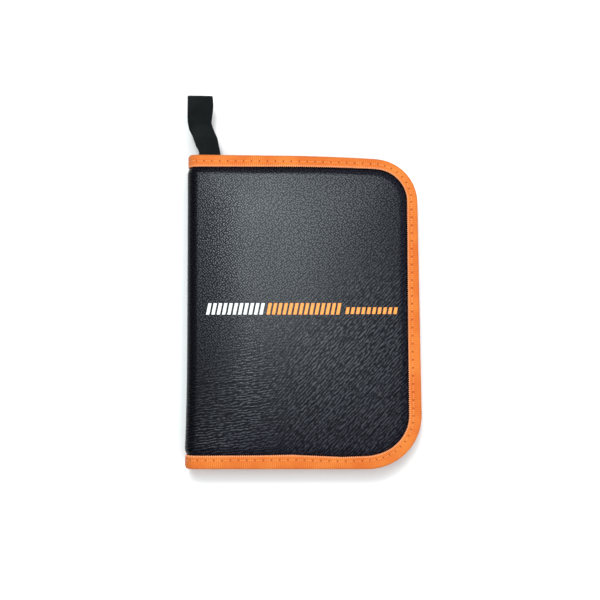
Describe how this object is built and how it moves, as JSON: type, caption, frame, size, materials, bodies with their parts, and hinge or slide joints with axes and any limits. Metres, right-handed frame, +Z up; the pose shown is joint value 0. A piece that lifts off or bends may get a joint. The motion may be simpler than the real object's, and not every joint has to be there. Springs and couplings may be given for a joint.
{
  "type": "zip-around battery storage case",
  "caption": "Flat zip-around folio case with padded grained covers, a folded spine, bound edges, a side zip and a webbing hang loop at the top of the spine.",
  "frame": {"origin": "centre of the back cover's resting face, on the surface that the closed case lies on", "axes": "+Z up through the front cover, +X from the spine to the fore edge, +Y to the top edge where the hang loop is"},
  "size_m": [0.18, 0.2906, 0.031],
  "materials": {
    "grained_leather": "black pebble-grained coated leather cloth, semi-matt",
    "orange_binding": "orange ribbed polyester tape",
    "black_webbing": "black woven polyester webbing",
    "zip_tape": "black woven zip tape",
    "zip_coil": "black moulded nylon coil",
    "zip_metal": "black enamelled zinc",
    "lining_cloth": "grey coated glass-fibre cloth",
    "foam": "closed-cell foam sheet",
    "board": "grey board",
    "elastic": "black ribbed elastic",
    "pocket_cloth": "black nylon mesh cloth"
  },
  "bodies": {
    "back_cover": {"back_cover_skin": "grained_leather", "back_foam_pad": "foam", "back_board": "board", "back_lining": "lining_cloth", "back_binding": "orange_binding", "back_zip_tape": "zip_tape", "back_zip_coil": "zip_coil", "back_zip_stops": "zip_metal", "pack_strap_upper": "elastic", "pack_strap_lower": "elastic"},
    "spine": {"spine_skin": "grained_leather", "spine_foam_pad": "foam", "spine_lining": "lining_cloth", "spine_binding_top": "orange_binding", "spine_binding_bottom": "orange_binding"},
    "front_cover": {"front_cover_skin": "grained_leather", "front_foam_pad": "foam", "front_board": "board", "front_lining": "lining_cloth", "front_binding": "orange_binding", "front_zip_tape": "zip_tape", "front_zip_coil": "zip_coil", "front_zip_stops": "zip_metal", "front_pocket": "pocket_cloth", "front_pocket_hem": "elastic", "hang_loop_anchor": "black_webbing"},
    "zip_slider": {"zip_slider_body": "zip_metal", "zip_slider_bail": "zip_metal"},
    "zip_pull": {"zip_pull_tab": "zip_metal"},
    "hang_loop": {"hang_loop": "black_webbing"}
  },
  "joints": [
    {"name": "spine_fold", "type": "hinge", "parent": "back_cover", "child": "spine", "pos_m": [-0.08807, 0, 0.00193], "axis": [0, -1, 0], "range_deg": [0, 90]},
    {"name": "cover_fold", "type": "hinge", "parent": "spine", "child": "front_cover", "pos_m": [-0.08807, 0, 0.02907], "axis": [0, -1, 0], "range_deg": [0, 90]},
    {"name": "zip_slide", "type": "slide", "parent": "back_cover", "child": "zip_slider", "axis": [1, 0, 0], "range_m": [0, 0.115]},
    {"name": "pull_swing", "type": "hinge", "parent": "zip_slider", "child": "zip_pull", "pos_m": [-0.07, -0.11585, 0.0155], "axis": [0, 0, -1], "range_deg": [0, 150]},
    {"name": "loop_swing", "type": "hinge", "parent": "front_cover", "child": "hang_loop", "pos_m": [-0.0755, 0.12375, 0.0253], "axis": [1, 0, 0], "range_deg": [-30, 90], "stiffness_Nm_per_rad": 0.01}
  ]
}
